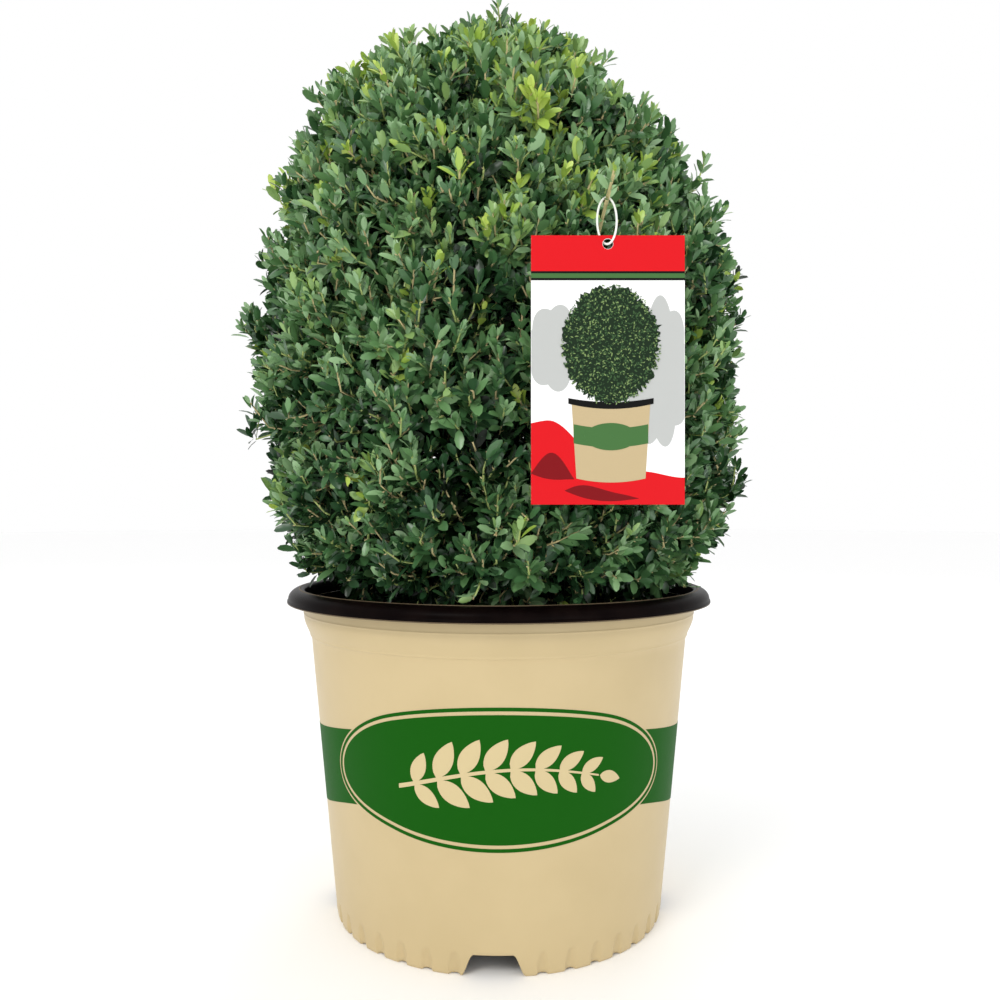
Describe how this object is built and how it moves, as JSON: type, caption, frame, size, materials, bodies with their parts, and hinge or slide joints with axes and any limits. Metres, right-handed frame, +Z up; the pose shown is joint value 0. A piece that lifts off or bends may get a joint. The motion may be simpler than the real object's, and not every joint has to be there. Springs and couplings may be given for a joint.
{
  "type": "potted boxwood cone topiary",
  "caption": "Loosely clipped blunt-cone boxwood with small glossy leaves, standing in its round nursery pot with a rolled rim, and a plain plant label hanging in front.",
  "frame": {"origin": "middle of the pot's flat underside, on the surface that it stands on", "axes": "+Z up along the pot's axis; the front, where the label hangs, faces -Y; +X is to the right as seen from the front"},
  "size_m": [0.3397, 0.3333, 0.6],
  "materials": {
    "pot_cream": "satin",
    "pot_black": "satin",
    "pot_print": "satin",
    "bark_mix": "matte",
    "bark": "matte",
    "foliage": "matte",
    "label_card": "gloss",
    "label_tie": "matte"
  },
  "bodies": {
    "root": {"pot_wall": "pot_cream", "pot_floor": "pot_cream", "pot_rim": "pot_black", "potting_mix": "bark_mix", "trunk": "bark", "bough_lower_1": "bark", "bough_lower_2": "bark", "bough_lower_3": "bark", "bough_lower_4": "bark", "bough_lower_5": "bark", "bough_middle_1": "bark", "bough_middle_2": "bark", "bough_middle_3": "bark", "bough_middle_4": "bark", "bough_middle_5": "bark", "bough_upper_1": "bark", "bough_upper_2": "bark", "bough_upper_3": "bark", "bough_upper_4": "bark", "bough_shoulder_1": "bark", "bough_shoulder_2": "bark", "bough_shoulder_3": "bark", "bough_shoulder_4": "bark", "foliage_lower_1": "foliage", "foliage_lower_2": "foliage", "foliage_lower_3": "foliage", "foliage_lower_4": "foliage", "foliage_lower_5": "foliage", "foliage_middle_1": "foliage", "foliage_middle_2": "foliage", "foliage_middle_3": "foliage", "foliage_middle_4": "foliage", "foliage_middle_5": "foliage", "foliage_upper_1": "foliage", "foliage_upper_2": "foliage", "foliage_upper_3": "foliage", "foliage_upper_4": "foliage", "foliage_shoulder_1": "foliage", "foliage_shoulder_2": "foliage", "foliage_shoulder_3": "foliage", "foliage_shoulder_4": "foliage", "foliage_crown_top": "foliage", "label_card": "label_card", "label_tie": "label_tie"}
  },
  "joints": []
}
